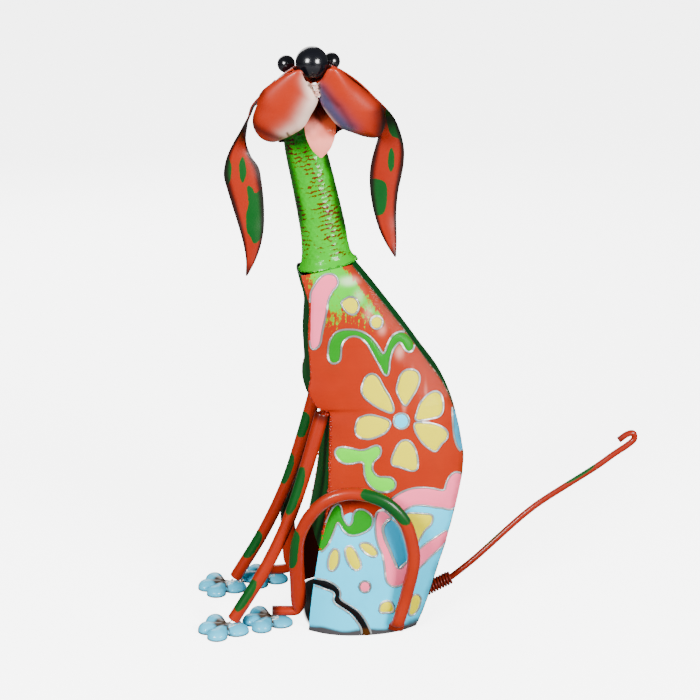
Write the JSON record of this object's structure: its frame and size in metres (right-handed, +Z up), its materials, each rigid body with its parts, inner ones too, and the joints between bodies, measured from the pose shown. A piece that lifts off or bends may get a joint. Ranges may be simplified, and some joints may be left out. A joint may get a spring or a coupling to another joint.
{
  "type": "painted metal dog sculpture",
  "caption": "Sitting garden dog of painted sheet metal and bent tube, with drooping ears, arched hind legs and a long upturned tail.",
  "frame": {"origin": "on the ground under the middle of the dog's bounding box", "axes": "+Z up; -X is the way the chest faces and +X the way the tail points; the head is turned to look along -Y"},
  "size_m": [0.4266, 0.1808, 0.5488],
  "materials": {
    "painted_panel": "brush-painted panel, orange ground with bright folk motifs in silver outlines",
    "green_strip": "dark green brushed enamel",
    "lime_neck": "lime enamel over red-brown, hammered",
    "orange": "orange satin enamel with green spots",
    "pink": "pink satin enamel",
    "black_gloss": "black gloss enamel",
    "pale_blue": "pale blue enamel with brown in the creases",
    "red_brown": "red-brown enamel"
  },
  "bodies": {
    "root": {"body_panel_left": "painted_panel", "body_panel_right": "painted_panel", "back_strip": "green_strip", "chest_strip": "green_strip", "neck": "lime_neck", "head_shell": "orange", "jowl_left": "orange", "jowl_right": "orange", "nose_ball": "black_gloss", "eye_left": "black_gloss", "eye_right": "black_gloss", "tongue": "pink", "ear_left": "orange", "ear_right": "orange", "front_leg_left": "orange", "front_leg_right": "orange", "hind_leg_left": "orange", "hind_leg_right": "orange", "paw_front_left": "pale_blue", "paw_front_right": "pale_blue", "paw_hind_left": "pale_blue", "paw_hind_right": "pale_blue", "tail_spring": "red_brown", "tail_rod": "red_brown"}
  },
  "joints": []
}
